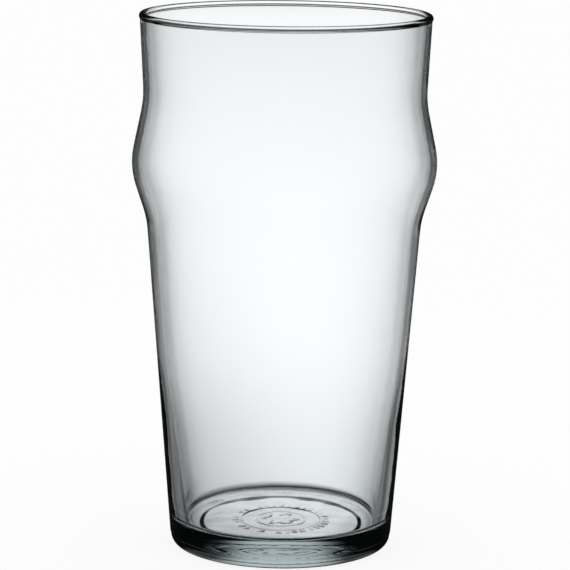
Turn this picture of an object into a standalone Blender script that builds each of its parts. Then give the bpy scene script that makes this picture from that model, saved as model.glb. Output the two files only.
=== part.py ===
"""Pint beer glass with a bulged shoulder: one pressed, fire-polished piece of clear soda-lime glass.

The body is a single closed outline turned about the Z axis. The outline starts on the axis at the inside
floor, climbs the inner wall, rolls over the lip, runs down the outer wall and ends on the axis under the
base. Its straight runs meet at corners, and each corner is rounded with its own radius.
"""

import math

import bmesh
import bpy

# Overall sizes, in metres. The foot stands on z = 0 and the glass is centred on the Z axis.
HEIGHT = 0.1530
RIM_DIAMETER = 0.0826
FOOT_DIAMETER = 0.0630

# Wall thickness, measured level: heavy at the foot, even above the waist and lightest at the rim.
WALL_FOOT = 0.0048
WALL_WAIST = 0.00215
WAIST_HEIGHT = 0.0500
WAIST_ROUND = 0.3000
WALL_SHOULDER = 0.0020
WALL_BULGE = 0.0019
WALL_NECK = 0.0017
WALL_RIM = 0.0015

# Outer wall. The straight runs between foot, shoulder, bulge, neck and rim meet at corners. Their heights
# are counted down from the rim, and each radius is counted from the corner above it.
NECK_BELOW_RIM = 0.0244
NECK_INSET = 0.00145
NECK_ROUND = 0.0280
BULGE_BELOW_RIM = 0.0434
BULGE_PROUD = 0.0040
BULGE_ROUND = 0.0210
SHOULDER_BELOW_RIM = 0.0582
SHOULDER_INSET = 0.0049
SHOULDER_ROUND = 0.0260

# Lip: a bead a little thicker than the wall, rolled over by the flame and all but flat on top.
LIP_SWELL = 0.0004
LIP_FLAT = 0.0001
LIP_BLEND = 0.0040

# Base: a thick floor with a rounded inside corner, a heel below the mould's parting step, a narrow flat
# ring that bears on the table, and a recessed centre panel inside the ring.
FLOOR_HEIGHT = 0.0079
FLOOR_CORNER_ROUND = 0.0019
PARTING_HEIGHT = 0.0038
PARTING_STEP = 0.0002
HEEL_ROUND = 0.0030
BEARING_WIDTH = 0.0046
BEARING_EDGE_ROUND = 0.0005
RECESS_DEPTH = 0.0011
RECESS_SLOPE_WIDTH = 0.0016
RECESS_CORNER_ROUND = 0.0010

# Fineness of the faceted solid.
SIDES = 60
ARC_STEP = math.radians(12.0)
SHARP_EDGE = math.radians(40.0)
WELD_DISTANCE = 0.000001

# Clear glass with the faint green-grey tint of soda-lime.
GLASS_COLOUR = (0.93, 0.955, 0.955, 1.0)
GLASS_ROUGHNESS = 0.02
GLASS_IOR = 1.52


def clear_scene():
    """Remove whatever the scene holds."""
    for item in list(bpy.data.objects):
        bpy.data.objects.remove(item, do_unlink=True)


def glass_material():
    """Clear glass."""
    material = bpy.data.materials.new("clear_glass")
    material.use_nodes = True
    shader = material.node_tree.nodes["Principled BSDF"]
    shader.inputs["Base Color"].default_value = GLASS_COLOUR
    shader.inputs["Roughness"].default_value = GLASS_ROUGHNESS
    shader.inputs["Metallic"].default_value = 0.0
    shader.inputs["IOR"].default_value = GLASS_IOR
    shader.inputs["Transmission Weight"].default_value = 1.0
    return material


def outer_corners():
    """Sharp corners of the outer wall from the table up to the rim, each a radius and a height."""
    rim = RIM_DIAMETER / 2
    neck = rim - NECK_INSET
    bulge = neck + BULGE_PROUD
    shoulder = bulge - SHOULDER_INSET
    return [
        (FOOT_DIAMETER / 2, 0.0),
        (shoulder, HEIGHT - SHOULDER_BELOW_RIM),
        (bulge, HEIGHT - BULGE_BELOW_RIM),
        (neck, HEIGHT - NECK_BELOW_RIM),
        (rim, HEIGHT),
    ]


def taper_radius(height):
    """Radius of the outer wall between the foot and the shoulder."""
    foot, shoulder = outer_corners()[:2]
    return foot[0] + (shoulder[0] - foot[0]) * height / shoulder[1]


def crossing(first, second):
    """Point where two lines cross; each line is a point and a direction."""
    (ax, az), (ux, uz) = first
    (bx, bz), (vx, vz) = second
    along = ((bx - ax) * vz - (bz - az) * vx) / (ux * vz - uz * vx)
    return (ax + along * ux, az + along * uz)


def inner_corners():
    """Sharp corners of the inner wall from the floor's edge to the lip, each one wall thickness inside."""
    outer = outer_corners()
    walls = (WALL_FOOT, WALL_SHOULDER, WALL_BULGE, WALL_NECK, WALL_RIM)
    foot, shoulder, bulge, neck, rim = [(x - wall, z) for (x, z), wall in zip(outer, walls)]
    waist = (taper_radius(WAIST_HEIGHT) - WALL_WAIST, WAIST_HEIGHT)
    floor_line = ((0.0, FLOOR_HEIGHT), (1.0, 0.0))
    lip_line = ((rim[0] - LIP_SWELL, HEIGHT), (0.0, 1.0))
    floor_edge = crossing(floor_line, (foot, (waist[0] - foot[0], waist[1] - foot[1])))
    bead_foot = crossing(lip_line, (neck, (rim[0] - neck[0], rim[1] - neck[1])))
    return [floor_edge, waist, shoulder, bulge, neck, bead_foot]


def outline_corners():
    """Corners of the whole section in order, each a radius, a height and a rounding radius."""
    foot, shoulder, bulge, neck, rim = outer_corners()
    floor_edge, waist, in_shoulder, in_bulge, in_neck, bead_foot = inner_corners()
    lip_round = (WALL_RIM + LIP_SWELL - LIP_FLAT) / 2
    heel = foot[0] - PARTING_STEP
    bearing_inner = heel - HEEL_ROUND - BEARING_WIDTH
    return [
        (0.0, FLOOR_HEIGHT, 0.0),
        (*floor_edge, FLOOR_CORNER_ROUND),
        (*waist, WAIST_ROUND),
        (*in_shoulder, SHOULDER_ROUND + WALL_BULGE),
        (*in_bulge, BULGE_ROUND - WALL_BULGE),
        (*in_neck, NECK_ROUND + WALL_NECK),
        (*bead_foot, LIP_BLEND),
        (bead_foot[0], HEIGHT, lip_round),
        (*rim, lip_round),
        (*neck, NECK_ROUND),
        (*bulge, BULGE_ROUND),
        (*shoulder, SHOULDER_ROUND),
        (taper_radius(PARTING_HEIGHT), PARTING_HEIGHT, 0.0),
        (taper_radius(PARTING_HEIGHT) - PARTING_STEP, PARTING_HEIGHT - PARTING_STEP, 0.0),
        (heel, 0.0, HEEL_ROUND),
        (bearing_inner, 0.0, BEARING_EDGE_ROUND),
        (bearing_inner - RECESS_SLOPE_WIDTH, RECESS_DEPTH, RECESS_CORNER_ROUND),
        (0.0, RECESS_DEPTH, 0.0),
    ]


def rounded(before, corner, after):
    """Points that replace a sharp corner: the corner itself, or an arc that touches both its sides."""
    x, z, radius = corner
    if radius == 0.0:
        return [(x, z)]
    to_before = math.atan2(before[1] - z, before[0] - x)
    to_after = math.atan2(after[1] - z, after[0] - x)
    opening = math.remainder(to_after - to_before, math.tau)
    turn = math.pi - abs(opening)
    middle = to_before + opening / 2
    reach = radius / math.sin(abs(opening) / 2)
    centre = (x + reach * math.cos(middle), z + reach * math.sin(middle))
    steps = max(2, math.ceil(turn / ARC_STEP))
    sweep = math.copysign(turn, opening)
    start = middle + math.pi + sweep / 2
    angles = [start - sweep * step / steps for step in range(steps + 1)]
    return [(centre[0] + radius * math.cos(a), centre[1] + radius * math.sin(a)) for a in angles]


def outline():
    """The section as a run of points from the inside floor's centre to the underside's centre."""
    corners = outline_corners()
    points = [corners[0][:2]]
    for before, corner, after in zip(corners, corners[1:], corners[2:]):
        points += rounded(before, corner, after)
    points.append(corners[-1][:2])
    return points


def turned_mesh(name, points):
    """Closed mesh made by turning an outline one full turn about Z."""
    shape = bmesh.new()
    ring = [shape.verts.new((x, 0.0, z)) for x, z in points]
    edges = [shape.edges.new(pair) for pair in zip(ring, ring[1:])]
    bmesh.ops.spin(
        shape, geom=ring + edges, axis=(0, 0, 1), cent=(0, 0, 0), angle=math.tau, steps=SIDES, use_merge=True
    )
    bmesh.ops.remove_doubles(shape, verts=shape.verts, dist=WELD_DISTANCE)
    bmesh.ops.recalc_face_normals(shape, faces=shape.faces)
    mesh = bpy.data.meshes.new(name)
    shape.to_mesh(mesh)
    shape.free()
    mesh.shade_smooth()
    mesh.set_sharp_from_angle(angle=SHARP_EDGE)
    return mesh


def make_glass_body():
    """The whole drinking glass, which is one piece."""
    mesh = turned_mesh("glass_body", outline())
    mesh.materials.append(glass_material())
    body = bpy.data.objects.new("glass_body", mesh)
    bpy.context.scene.collection.objects.link(body)
    return body


def main():
    """Build the part."""
    clear_scene()
    make_glass_body()


main()
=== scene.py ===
"""Looks of the pint glass: a fine turned body with moulded relief, clear glass, studio floor and light."""

import math

import bmesh
import bpy
from mathutils import Matrix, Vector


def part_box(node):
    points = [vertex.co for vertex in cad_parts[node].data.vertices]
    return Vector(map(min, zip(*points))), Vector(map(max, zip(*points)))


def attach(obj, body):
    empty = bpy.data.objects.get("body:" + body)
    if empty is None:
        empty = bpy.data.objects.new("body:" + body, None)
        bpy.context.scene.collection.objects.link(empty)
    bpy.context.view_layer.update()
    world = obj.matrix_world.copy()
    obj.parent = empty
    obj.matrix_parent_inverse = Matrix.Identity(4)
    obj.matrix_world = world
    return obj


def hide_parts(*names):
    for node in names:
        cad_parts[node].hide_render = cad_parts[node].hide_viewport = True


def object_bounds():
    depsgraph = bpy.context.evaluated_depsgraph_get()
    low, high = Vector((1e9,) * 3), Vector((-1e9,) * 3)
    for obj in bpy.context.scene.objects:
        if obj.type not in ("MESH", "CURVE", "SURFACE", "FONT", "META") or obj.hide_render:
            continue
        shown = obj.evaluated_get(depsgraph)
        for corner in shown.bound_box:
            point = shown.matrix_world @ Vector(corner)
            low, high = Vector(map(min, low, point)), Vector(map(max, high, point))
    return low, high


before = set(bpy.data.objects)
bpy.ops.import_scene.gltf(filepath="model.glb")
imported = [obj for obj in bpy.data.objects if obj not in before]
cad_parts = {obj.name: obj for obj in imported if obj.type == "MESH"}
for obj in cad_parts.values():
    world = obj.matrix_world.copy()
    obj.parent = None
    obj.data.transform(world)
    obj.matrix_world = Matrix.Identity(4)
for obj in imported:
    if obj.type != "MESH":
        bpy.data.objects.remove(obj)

MM = 0.001
cad_low, cad_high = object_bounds()
glass_low, glass_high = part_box("glass_body")

# ---------------------------------------------------------------- sizes of the glass, in metres
HEIGHT = glass_high.z - glass_low.z
RIM_DIAMETER = 82.6 * MM
FOOT_DIAMETER = 63.0 * MM
WALL_FOOT = 4.8 * MM
WALL_WAIST = 2.15 * MM
WAIST_HEIGHT = 50.0 * MM
WAIST_ROUND = 300.0 * MM
WALL_SHOULDER = 2.0 * MM
WALL_BULGE = 1.9 * MM
WALL_NECK = 1.7 * MM
WALL_RIM = 1.5 * MM

NECK_BELOW_RIM = 24.4 * MM
NECK_INSET = 1.45 * MM
NECK_ROUND = 28.0 * MM
BULGE_BELOW_RIM = 43.4 * MM
BULGE_PROUD = 3.98 * MM
BULGE_ROUND = 21.0 * MM
SHOULDER_BELOW_RIM = 58.2 * MM
SHOULDER_INSET = 4.9 * MM
SHOULDER_ROUND = 26.0 * MM

# Lip: a small bead, rounder outside than inside. Its ends are angles, 0 outward and a quarter turn upward.
BEAD_OUTER_ROUND = 1.05 * MM
BEAD_INNER_ROUND = 0.70 * MM
BEAD_PROUD = 0.2 * MM
BEAD_OUTER_END = math.radians(-36.0)
BEAD_INNER_END = math.radians(218.0)
BEAD_BLEND = 0.2 * MM
BEAD_DEPTH = 2.2 * MM

FLOOR_HEIGHT = 7.9 * MM
FLOOR_CORNER_ROUND = 1.9 * MM
PARTING_HEIGHT = 3.8 * MM
PARTING_STEP = 0.2 * MM
PARTING_ROUND = 0.1 * MM
HEEL_ROUND = 3.0 * MM
BEARING_WIDTH = 4.6 * MM
BEARING_EDGE_ROUND = 0.5 * MM
RECESS_DEPTH = 0.9 * MM
RECESS_SLOPE_WIDTH = 1.0 * MM
RECESS_CORNER_ROUND = 0.6 * MM

# Fineness of the turned body.
SIDES = 270
ARC_STEP = math.radians(5.0)
BEAD_STEP = math.radians(9.0)
WALL_STEP = 5.0 * MM
FLOOR_STEP = 0.6 * MM
PANEL_STEP = 0.32 * MM
WELD_DISTANCE = 0.001 * MM

# Relief moulded into the underside, and the unevenness of the inside floor. These are the inputs of the
# node tree that turns the glass; whole numbers count things round the axis.
RELIEF = {
    "Sides": SIDES,
    "Relief Height": 0.18 * MM,
    "Ring Radius": 7.2 * MM,
    "Ring Width": 0.35 * MM,
    "Figure Lobes": 6,
    "Figure Reach": 0.8 * MM,
    "Figure Width": 0.6 * MM,
    "Mark Count": 34,
    "Mark Radius": 13.3 * MM,
    "Mark Length": 1.0 * MM,
    "Patch Scale": 210.0,
    "Well Radius": 11.9 * MM,
    "Well Depth": 0.07 * MM,
    "Stipple Count": 90,
    "Stipple Radius": 26.2 * MM,
    "Stipple Depth": 0.04 * MM,
    "Ripple Scale": 130.0,
    "Ripple Height": 0.22 * MM,
    "Ripple Radius": 25.2 * MM,
}

# ---------------------------------------------------------------- clear glass
GLASS_IOR = 1.52
GLASS_ROUGHNESS = 0.004
FOOT_SCUFF = 0.16
WALL_TINT = (0.970, 0.977, 0.980, 1.0)
BASE_TINT = (0.965, 0.975, 0.975, 1.0)
BASE_TINT_HEIGHT = 14.0 * MM
HEEL_TINT = (0.68, 0.655, 0.65, 1.0)
HEEL_TINT_HEIGHT = 8.0 * MM
# Painted shade: the outer wall's colour where it is seen edge-on.
EDGE_PAINTED_SHADE = (0.045, 0.047, 0.050, 1.0)
EDGE_START = 0.75
EDGE_WIDTH = 0.08
BODY_TINT = (0.083, 0.333, 0.35, 1.0)
BODY_DENSITY = 12.0

# ---------------------------------------------------------------- camera and studio, in metres
CAMERA_DISTANCE = 0.8364
CAMERA_HEIGHT = 0.2292
CAMERA_PITCH = math.radians(10.42)
CAMERA_YAW = math.radians(-0.0365)
CAMERA_ROLL = math.radians(0.681)
CAMERA_LENS = 188.5  # millimetres, over a 36 mm sensor
BACKDROP = (0.985, 0.985, 0.985, 1.0)
FLOOR_LIGHT = (1.05, 1.05, 1.05, 1.0)
FLAGS = (0.010, 0.011, 0.012, 1.0)
FLOOR_RADIUS = 0.45
FLOOR_FADE_START = 0.16
FLOOR_FADE_WIDTH = 0.26
FLOOR_GAP = 0.05 * MM
FLOOR_PAINT = (0.13, 0.13, 0.13, 1.0)
FLOOR_SHINE = 0.855
GLOW_BEHIND = 0.40
GLOW_SIZE = 2.4
GLOW_STRENGTH = 1.28
GLOW_SHIFT = 10.0 * MM
GLOW_LEAN = 0.16
GLOW_FLAT = 75.0 * MM
GLOW_FADE = 150.0 * MM
GLOW_TALL = 190.0 * MM
GLOW_TOP = 112.0 * MM
GLOW_WINGS = 180.0 * MM
GLOW_END = 380.0 * MM


class Wire:
    """A number carried by a node socket; arithmetic on it adds Math nodes to the tree."""

    def __init__(self, tree, socket):
        self.tree = tree
        self.socket = socket

    def math(self, operation, *others):
        node = self.tree.nodes.new("ShaderNodeMath")
        node.operation = operation
        for slot, value in zip(node.inputs, (self, *others)):
            join(self.tree, slot, value)
        return Wire(self.tree, node.outputs[0])

    def __add__(self, other):
        return self.math("ADD", other)

    def __radd__(self, other):
        return self.math("ADD", other)

    def __sub__(self, other):
        return self.math("SUBTRACT", other)

    def __rsub__(self, other):
        return (self * -1.0).math("ADD", other)

    def __mul__(self, other):
        return self.math("MULTIPLY", other)

    def __rmul__(self, other):
        return self.math("MULTIPLY", other)

    def __truediv__(self, other):
        return self.math("DIVIDE", other)

    def __abs__(self):
        return self.math("ABSOLUTE")

    def clamp(self):
        """The number held between 0 and 1."""
        return self.math("MAXIMUM", 0.0).math("MINIMUM", 1.0)

    def ease(self):
        """The number held between 0 and 1, leaving and arriving gently."""
        held = self.clamp()
        return held * held * (3.0 - 2.0 * held)

    def wave(self):
        """Cosine of the number."""
        return self.math("COSINE")

    def bell(self):
        """A bell curve of the number: 1 at 0 and 0.61 at 1."""
        return (self * self * -0.5).math("EXPONENT")


def join(tree, slot, value):
    """Feeds a socket from a wire, another socket or a plain value."""
    if isinstance(value, Wire):
        tree.links.new(value.socket, slot)
    elif isinstance(value, bpy.types.NodeSocket):
        tree.links.new(value, slot)
    elif value is not None:
        slot.default_value = value


class Bench:
    """A node tree with one way of adding nodes."""

    def __init__(self, tree):
        self.tree = tree

    def add(self, kind, settings=None, sockets=None):
        """A node of a kind, with its settings and then its input sockets, by name or number."""
        node = self.tree.nodes.new(kind)
        for name, value in (settings or {}).items():
            setattr(node, name, value)
        for name, value in (sockets or {}).items():
            join(self.tree, node.inputs[name], value)
        return node

    def wire(self, socket):
        return Wire(self.tree, socket)

    def number(self, kind, output, settings=None, sockets=None):
        """One output of a new node, as a number."""
        return self.wire(self.add(kind, settings, sockets).outputs[output])

    def split(self, place):
        """The three coordinates of a point, as numbers."""
        return [self.wire(part) for part in self.add("ShaderNodeSeparateXYZ", sockets={0: place}).outputs]

    def noise(self, place, scale, detail):
        """Soft noise over a point, as a number around one half."""
        return self.number(
            "ShaderNodeTexNoise", "Fac", sockets={"Vector": place, "Scale": scale, "Detail": detail}
        )

    def mix(self, factor, first, second):
        """A colour between two, by a number."""
        node = self.add("ShaderNodeMix", {"data_type": "RGBA"})
        join(self.tree, node.inputs[0], factor)
        join(self.tree, node.inputs[6], first)
        join(self.tree, node.inputs[7], second)
        return node.outputs[2]


def fresh_bench(owner):
    """A bench over the emptied node tree of a material or a world."""
    owner.use_nodes = True
    owner.node_tree.nodes.clear()
    return Bench(owner.node_tree)


def placed_object(name, data):
    """A new object in the scene."""
    item = bpy.data.objects.new(name, data)
    bpy.context.scene.collection.objects.link(item)
    return item


# ---------------------------------------------------------------- outline of the glass


def outer_corners():
    """Sharp corners of the outer wall from the table to just inside the bead: a radius and a height each."""
    rim = RIM_DIAMETER / 2
    neck = rim - NECK_INSET
    bulge = neck + BULGE_PROUD
    shoulder = bulge - SHOULDER_INSET
    return [
        (FOOT_DIAMETER / 2, 0.0),
        (shoulder, HEIGHT - SHOULDER_BELOW_RIM),
        (bulge, HEIGHT - BULGE_BELOW_RIM),
        (neck, HEIGHT - NECK_BELOW_RIM),
        (rim - BEAD_PROUD, HEIGHT),
    ]


def taper_radius(height):
    """Radius of the outer wall between the foot and the shoulder."""
    foot, shoulder = outer_corners()[:2]
    return foot[0] + (shoulder[0] - foot[0]) * height / shoulder[1]


def crossing(first, second):
    """Point where two lines cross; each line is a point and a direction."""
    (ax, az), (ux, uz) = first
    (bx, bz), (vx, vz) = second
    along = ((bx - ax) * vz - (bz - az) * vx) / (ux * vz - uz * vx)
    return (ax + along * ux, az + along * uz)


def inner_corners():
    """Sharp corners of the inner wall from the floor's edge to the lip, each one wall thickness inside."""
    outer = outer_corners()
    walls = (WALL_FOOT, WALL_SHOULDER, WALL_BULGE, WALL_NECK, WALL_RIM)
    foot, shoulder, bulge, neck, rim = [(x - wall, z) for (x, z), wall in zip(outer, walls)]
    floor_line = ((0.0, FLOOR_HEIGHT), (1.0, 0.0))
    waist = (taper_radius(WAIST_HEIGHT) - WALL_WAIST, WAIST_HEIGHT)
    floor_edge = crossing(floor_line, (foot, (waist[0] - foot[0], waist[1] - foot[1])))
    return [floor_edge, waist, shoulder, bulge, neck, rim]


def bead_point(angle):
    """Point on the rim's round bead; the angle is 0 outward and a quarter turn upward."""
    middle = RIM_DIAMETER / 2 - BEAD_OUTER_ROUND
    radius = BEAD_OUTER_ROUND if math.cos(angle) > 0.0 else BEAD_INNER_ROUND
    return (middle + radius * math.cos(angle), HEIGHT - radius + radius * math.sin(angle))


def bead_foot(neck, rim, angle):
    """Corner where a wall, given by its neck and rim corners, meets the slope of the bead at an angle."""
    wall = (neck, (rim[0] - neck[0], rim[1] - neck[1]))
    return crossing(wall, (bead_point(angle), (-math.sin(angle), math.cos(angle))))


def bead_corners():
    """Points of the bead from its inner end over the top to its outer end."""
    count = math.ceil((BEAD_INNER_END - BEAD_OUTER_END) / BEAD_STEP)
    span = BEAD_OUTER_END - BEAD_INNER_END
    return [(*bead_point(BEAD_INNER_END + span * step / count), 0.0, WALL_STEP) for step in range(count + 1)]


def outline_corners():
    """Corners of the whole section: radius, height, rounding radius and the longest step to the next."""
    foot, shoulder, bulge, neck, rim = outer_corners()
    floor_edge, waist, in_shoulder, in_bulge, in_neck, in_rim = inner_corners()
    parting = taper_radius(PARTING_HEIGHT)
    heel = foot[0] - PARTING_STEP
    bearing_inner = heel - HEEL_ROUND - BEARING_WIDTH
    return [
        (0.0, FLOOR_HEIGHT, 0.0, FLOOR_STEP),
        (*floor_edge, FLOOR_CORNER_ROUND, WALL_STEP),
        (*waist, WAIST_ROUND, WALL_STEP),
        (*in_shoulder, SHOULDER_ROUND + WALL_BULGE, WALL_STEP),
        (*in_bulge, BULGE_ROUND - WALL_BULGE, WALL_STEP),
        (*in_neck, NECK_ROUND + WALL_NECK, WALL_STEP),
        (*bead_foot(in_neck, in_rim, BEAD_INNER_END), BEAD_BLEND, WALL_STEP),
        *bead_corners(),
        (*bead_foot(neck, rim, BEAD_OUTER_END), BEAD_BLEND, WALL_STEP),
        (*neck, NECK_ROUND, WALL_STEP),
        (*bulge, BULGE_ROUND, WALL_STEP),
        (*shoulder, SHOULDER_ROUND, WALL_STEP),
        (parting, PARTING_HEIGHT, PARTING_ROUND, WALL_STEP),
        (parting - PARTING_STEP, PARTING_HEIGHT - PARTING_STEP, PARTING_ROUND, WALL_STEP),
        (heel, 0.0, HEEL_ROUND, PANEL_STEP),
        (bearing_inner, 0.0, BEARING_EDGE_ROUND, PANEL_STEP),
        (bearing_inner - RECESS_SLOPE_WIDTH, RECESS_DEPTH, RECESS_CORNER_ROUND, PANEL_STEP),
        (0.0, RECESS_DEPTH, 0.0, PANEL_STEP),
    ]


def rounded(before, corner, after):
    """Points that replace a sharp corner: the corner itself, or an arc that touches both its sides."""
    x, z, radius = corner[:3]
    if radius == 0.0:
        return [(x, z)]
    to_before = math.atan2(before[1] - z, before[0] - x)
    to_after = math.atan2(after[1] - z, after[0] - x)
    opening = math.remainder(to_after - to_before, math.tau)
    turn = math.pi - abs(opening)
    middle = to_before + opening / 2
    reach = radius / math.sin(abs(opening) / 2)
    centre = (x + reach * math.cos(middle), z + reach * math.sin(middle))
    steps = max(2, math.ceil(turn / ARC_STEP))
    sweep = math.copysign(turn, opening)
    start = middle + math.pi + sweep / 2
    angles = [start - sweep * step / steps for step in range(steps + 1)]
    return [(centre[0] + radius * math.cos(a), centre[1] + radius * math.sin(a)) for a in angles]


def stepped(start, end, longest):
    """Points between two others, no further apart than the longest step, without the two ends."""
    count = math.ceil(math.dist(start, end) / longest)
    shares = [step / count for step in range(1, count)]
    return [tuple(a + (b - a) * share for a, b in zip(start, end)) for share in shares]


def outline():
    """The section as a run of points from the inside floor's centre to the underside's centre."""
    corners = outline_corners()
    points = [corners[0][:2]]
    for before, corner, after in zip(corners, corners[1:], corners[2:]):
        arc = rounded(before, corner, after)
        points += stepped(points[-1], arc[0], before[3])
        points += arc
    points += stepped(points[-1], corners[-1][:2], corners[-2][3])
    points.append(corners[-1][:2])
    return points


# ---------------------------------------------------------------- the turned body


def turned_point(bench, radius, turn, height):
    """Point at a radius, a turn and a height."""
    point = bench.add(
        "ShaderNodeCombineXYZ",
        sockets={"X": radius * turn.math("COSINE"), "Y": radius * turn.math("SINE"), "Z": height},
    )
    return point.outputs[0]


def lift(bench, size, radius, turn, height):
    """How far the relief and the floor's ripple raise the skin at a radius, a turn and a height."""
    flat = turned_point(bench, radius, turn, 0.0)
    patch = bench.noise(flat, size["Patch Scale"], 1.0)
    patchy = ((patch - 0.42) * 7.0).clamp()

    ring = (1.0 - abs(radius - size["Ring Radius"]) / size["Ring Width"]).ease()
    drift = (patch - 0.5) * 6.0 * MM
    lobe = (turn * size["Figure Lobes"]).wave() * size["Figure Reach"]
    petals = abs(radius - size["Ring Radius"] * 0.55 - lobe - drift) / size["Figure Width"]
    figure = (1.0 - petals).ease() * patchy
    beat = (turn * size["Mark Count"] + patch * 8.0).wave()
    row = ((size["Mark Length"] - abs(radius - size["Mark Radius"])) / (0.4 * MM)).ease()
    one_side = (0.5 - turn.math("SINE")).clamp() * 0.8 + 0.2
    dashes = (beat * 2.5).ease() * row * one_side * patchy
    marks = (ring * 0.45 + figure + dashes) * size["Relief Height"]

    bearing = (1.5 - abs(radius - size["Stipple Radius"]) / (1.2 * MM)).ease()
    stipple = ((turn * size["Stipple Count"]).wave() * 0.5 + 0.5) * bearing * size["Stipple Depth"]
    well = ((size["Well Radius"] - radius) / (0.8 * MM)).ease() * size["Well Depth"]
    underside = ((2.0 * MM - height) / (0.2 * MM)).clamp()

    swell = (bench.noise(flat, size["Ripple Scale"], 0.0) - 0.5) * size["Ripple Height"]
    on_floor = (1.0 - abs(height - FLOOR_HEIGHT) / (0.2 * MM)).ease()
    inward = ((size["Ripple Radius"] - radius) / (3.0 * MM)).ease()
    return (stipple + well - marks) * underside + swell * (on_floor * inward)


def turning_tree(material):
    """Geometry nodes that turn an outline about Z and add the relief and the ripple."""
    tree = bpy.data.node_groups.new("turned_glass", "GeometryNodeTree")
    tree.interface.new_socket("Outline", in_out="INPUT", socket_type="NodeSocketGeometry")
    for name, value in RELIEF.items():
        kind = "NodeSocketInt" if isinstance(value, int) else "NodeSocketFloat"
        tree.interface.new_socket(name, in_out="INPUT", socket_type=kind)
    tree.interface.new_socket("Mesh", in_out="OUTPUT", socket_type="NodeSocketGeometry")
    bench = Bench(tree)
    given = bench.add("NodeGroupInput").outputs
    size = {name: bench.wire(given[name]) for name in RELIEF}

    count = bench.add("GeometryNodeAttributeDomainSize", {"component": "MESH"}, {0: given["Outline"]})
    columns = size["Sides"] + 1.0
    grid = bench.add(
        "GeometryNodeMeshGrid", sockets={"Vertices X": count.outputs["Point Count"], "Vertices Y": columns}
    )
    index = bench.number("GeometryNodeInputIndex", 0)
    place = (index / columns).math("FLOOR")
    turn = (index - place * columns) * math.tau / size["Sides"]
    position = bench.add("GeometryNodeInputPosition").outputs[0]
    sampled = bench.add(
        "GeometryNodeSampleIndex",
        {"data_type": "FLOAT_VECTOR"},
        {"Geometry": given["Outline"], "Value": position, "Index": place},
    )
    radius, _, height = bench.split(sampled.outputs[0])
    raised = turned_point(bench, radius, turn, height + lift(bench, size, radius, turn, height))
    placed = bench.add(
        "GeometryNodeSetPosition", sockets={"Geometry": grid.outputs["Mesh"], "Position": raised}
    )
    closed = bench.add(
        "GeometryNodeMergeByDistance", sockets={"Geometry": placed.outputs[0], "Distance": WELD_DISTANCE}
    )
    smooth = bench.add("GeometryNodeSetShadeSmooth", sockets={0: closed.outputs[0]})
    real = bench.add("GeometryNodeRealizeInstances", sockets={0: smooth.outputs[0]})
    dressed = bench.add("GeometryNodeSetMaterial", sockets={0: real.outputs[0], "Material": material})
    bench.add("NodeGroupOutput", sockets={0: dressed.outputs[0]})
    return tree


def plain_mesh(name, source_mesh, tree, values):
    """A plain mesh object made by running a mesh through a node tree with named input values."""
    maker = placed_object(name + "_maker", source_mesh)
    modifier = maker.modifiers.new("nodes", "NODES")
    modifier.node_group = tree
    for item in tree.interface.items_tree:
        if item.in_out == "INPUT" and item.name in values:
            modifier[item.identifier] = values[item.name]
    evaluated = maker.evaluated_get(bpy.context.evaluated_depsgraph_get())
    mesh = bpy.data.meshes.new_from_object(evaluated)
    mesh.name = name
    bpy.data.objects.remove(maker, do_unlink=True)
    return placed_object(name, mesh)


def turned_glass(material):
    """The whole glass as one closed skin."""
    shape = bmesh.new()
    ring = [shape.verts.new((x, 0.0, z)) for x, z in outline()]
    for pair in zip(ring, ring[1:]):
        shape.edges.new(pair)
    section = bpy.data.meshes.new("outline")
    shape.to_mesh(section)
    shape.free()
    return plain_mesh("pint_glass", section, turning_tree(material), RELIEF)


# ---------------------------------------------------------------- clear glass


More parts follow.
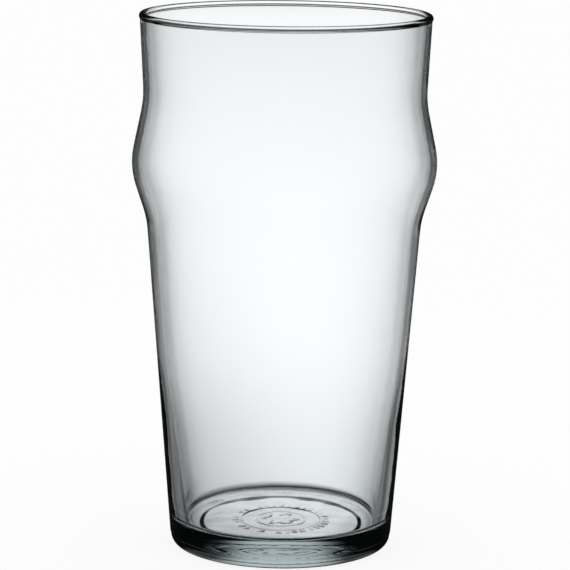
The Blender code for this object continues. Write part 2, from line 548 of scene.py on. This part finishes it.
def clear_glass():
    """Fire-polished soda-lime glass with a faint green-grey body, darker round its outer heel, with painted
    shade where the outer wall is seen edge-on.
    """
    material = bpy.data.materials.new("clear_glass")
    bench = fresh_bench(material)
    place = bench.add("ShaderNodeTexCoord").outputs["Object"]
    height = bench.split(place)[2]

    scuff = bench.noise(place, 1400.0, 3.0)
    foot = (1.0 - height / (1.0 * MM)).clamp()
    roughness = GLASS_ROUGHNESS + foot * (scuff * FOOT_SCUFF).clamp()
    bump = bench.add(
        "ShaderNodeBump",
        sockets={"Strength": 0.12, "Distance": 0.2 * MM, "Height": bench.noise(place, 90.0, 1.0)},
    )

    # 1 where the skin faces away from the axis, and 0 on the inside.
    normal = bench.add("ShaderNodeNewGeometry").outputs["Normal"]
    level = bench.add("ShaderNodeVectorMath", {"operation": "MULTIPLY"}, {0: place, 1: (1.0, 1.0, 0.0)})
    outward = bench.number(
        "ShaderNodeVectorMath", "Value", {"operation": "DOT_PRODUCT"}, {0: level.outputs[0], 1: normal}
    )
    outside = (outward * 1000.0).clamp()

    # Painted shade: the outer wall's colour turns dark where it is seen almost edge-on.
    facing = bench.number("ShaderNodeLayerWeight", "Facing", sockets={"Blend": 0.5})
    below_lip = ((HEIGHT - BEAD_DEPTH - height) / (0.5 * MM)).clamp()
    grazing = ((facing - EDGE_START) / EDGE_WIDTH).ease() * (outside * below_lip)
    # The outer heel's colour turns darker below HEEL_TINT_HEIGHT.
    heel = ((HEEL_TINT_HEIGHT - height) / (1.0 * MM)).clamp() * outside
    base = (1.0 - height / BASE_TINT_HEIGHT).ease()
    heel_darkened_tint = bench.mix(heel, bench.mix(base, WALL_TINT, BASE_TINT), HEEL_TINT)
    tint_and_painted_shade = bench.mix(grazing, heel_darkened_tint, EDGE_PAINTED_SHADE)
    shader = bench.add(
        "ShaderNodeBsdfPrincipled",
        sockets={
            # The base colour carries the glass tint and the painted shade of the edge-on outer wall.
            "Base Color": tint_and_painted_shade,
            "Metallic": 0.0,
            "Roughness": roughness,
            "IOR": GLASS_IOR,
            "Transmission Weight": 1.0,
            "Normal": bump.outputs[0],
        },
    )
    body = bench.add("ShaderNodeVolumeAbsorption", sockets={"Color": BODY_TINT, "Density": BODY_DENSITY})
    bench.add("ShaderNodeOutputMaterial", sockets={"Surface": shader.outputs[0], "Volume": body.outputs[0]})
    return material


# ---------------------------------------------------------------- studio


def stage_piece(name, look, fill, hidden_from):
    """An object whose mesh is filled by a function, hidden from some kinds of ray, and its look's bench."""
    shape = bmesh.new()
    fill(shape)
    mesh = bpy.data.meshes.new(name)
    shape.to_mesh(mesh)
    shape.free()
    piece = placed_object(name, mesh)
    material = bpy.data.materials.new(look)
    mesh.materials.append(material)
    for kind in hidden_from:
        setattr(piece, "visible_" + kind, False)
    return piece, fresh_bench(material)


def pale_floor():
    """A pale round of floor that fades into the backdrop. It glows a little and the glass doesn't show it."""
    floor, bench = stage_piece(
        "floor",
        "pale_floor",
        lambda shape: bmesh.ops.create_circle(shape, cap_ends=True, segments=96, radius=FLOOR_RADIUS),
        ("transmission", "glossy"),
    )
    floor.location.z = cad_low.z - FLOOR_GAP
    place = bench.add("ShaderNodeTexCoord").outputs["Object"]
    away = bench.number("ShaderNodeVectorMath", "Value", {"operation": "LENGTH"}, {0: place})
    matt = bench.add("ShaderNodeBsdfDiffuse", sockets={"Color": FLOOR_PAINT})
    shine = bench.add("ShaderNodeEmission", sockets={"Color": (1.0, 1.0, 1.0, 1.0), "Strength": FLOOR_SHINE})
    paint = bench.add("ShaderNodeAddShader", sockets={0: matt.outputs[0], 1: shine.outputs[0]})
    clear = bench.add("ShaderNodeBsdfTransparent")
    fade = ((away - FLOOR_FADE_START) / FLOOR_FADE_WIDTH).ease()
    surface = bench.add("ShaderNodeMixShader", sockets={0: fade, 1: paint.outputs[0], 2: clear.outputs[0]})
    bench.add("ShaderNodeOutputMaterial", sockets={"Surface": surface.outputs[0]})


def back_glow(camera):
    """A soft panel behind the glass, hung from the camera, that is seen only through the glass."""
    panel, bench = stage_piece(
        "back_glow",
        "back_glow",
        lambda shape: bmesh.ops.create_grid(shape, x_segments=1, y_segments=1, size=GLOW_SIZE / 2),
        ("camera", "diffuse", "glossy", "shadow", "volume_scatter"),
    )
    panel.parent = camera
    panel.location = (0.0, 0.0, -math.hypot(CAMERA_DISTANCE, CAMERA_HEIGHT) - GLOW_BEHIND)
    across, up, _ = bench.split(bench.add("ShaderNodeTexCoord").outputs["Object"])
    lean = up * GLOW_LEAN
    aside = abs(across - GLOW_SHIFT + lean)

    # Bright middle, fading to the sides and to the top and bottom, a little dimmer low beside the middle.
    wide = 1.0 - ((aside - GLOW_FLAT + lean) / GLOW_FADE).ease() * 0.90
    dip = (0.105 - up * 1.6).clamp() * (1.0 - (aside / (45.0 * MM)).bell())
    high = ((up - GLOW_TOP) / (30.0 * MM)).ease()
    flank = ((aside - 50.0 * MM) / (70.0 * MM)).ease()
    middle = wide * (1.0 - dip) * (up / GLOW_TALL).bell() * (1.0 - high * (0.75 + 0.22 * flank))

    # Faint wings low at both sides.
    side = 0.22 * ((aside - GLOW_WINGS) / (120.0 * MM)).ease() * (up * -12.0 + 0.3).ease()
    wings = side * (0.62 + 0.38 * ((up + 180.0 * MM) / (30.0 * MM)).ease())
    ends = 1.0 - ((aside - GLOW_END) / (150.0 * MM)).ease()
    strength = (middle + wings) * ends * GLOW_STRENGTH
    glow = bench.add("ShaderNodeEmission", sockets={"Color": (0.99, 0.995, 1.0, 1.0), "Strength": strength})
    bench.add("ShaderNodeOutputMaterial", sockets={"Surface": glow.outputs[0]})


def studio_world():
    """White backdrop to the eye, even soft light on the floor, dark flags for the glass to mirror."""
    world = bpy.data.worlds.new("studio")
    bpy.context.scene.world = world
    bench = fresh_bench(world)
    path = bench.add("ShaderNodeLightPath").outputs
    lit = bench.mix(bench.wire(path["Diffuse Depth"]).clamp(), FLAGS, FLOOR_LIGHT)
    seen = bench.mix(path["Is Camera Ray"], lit, BACKDROP)
    light = bench.add("ShaderNodeBackground", sockets={"Color": seen, "Strength": 1.0})
    bench.add("ShaderNodeOutputWorld", sockets={"Surface": light.outputs[0]})
    world.cycles.sampling_method = "NONE"


def studio_camera():
    """A long lens a little above the rim's height, looking slightly down."""
    data = bpy.data.cameras.new("camera")
    data.sensor_width = 36.0
    data.lens = CAMERA_LENS
    data.clip_start = 0.01
    data.clip_end = 20.0
    camera = placed_object("camera", data)
    aim = Matrix.Rotation(CAMERA_YAW, 4, "Z")
    tilt = Matrix.Rotation(math.pi / 2 - CAMERA_PITCH, 4, "X")
    roll = Matrix.Rotation(CAMERA_ROLL, 4, "Z")
    camera.matrix_world = Matrix.Translation((0.0, -CAMERA_DISTANCE, CAMERA_HEIGHT)) @ aim @ tilt @ roll
    bpy.context.scene.camera = camera
    return camera


def set_light_paths():
    """Enough bounces for light to find its way through the thick base."""
    scene = bpy.context.scene
    scene.view_settings.view_transform = "Standard"
    scene.cycles.max_bounces = 32
    scene.cycles.transmission_bounces = 32
    scene.cycles.glossy_bounces = 16
    scene.cycles.transparent_max_bounces = 16


glass = turned_glass(clear_glass())
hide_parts("glass_body")
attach(glass, "root")

back_glow(studio_camera())
pale_floor()
studio_world()
set_light_paths()
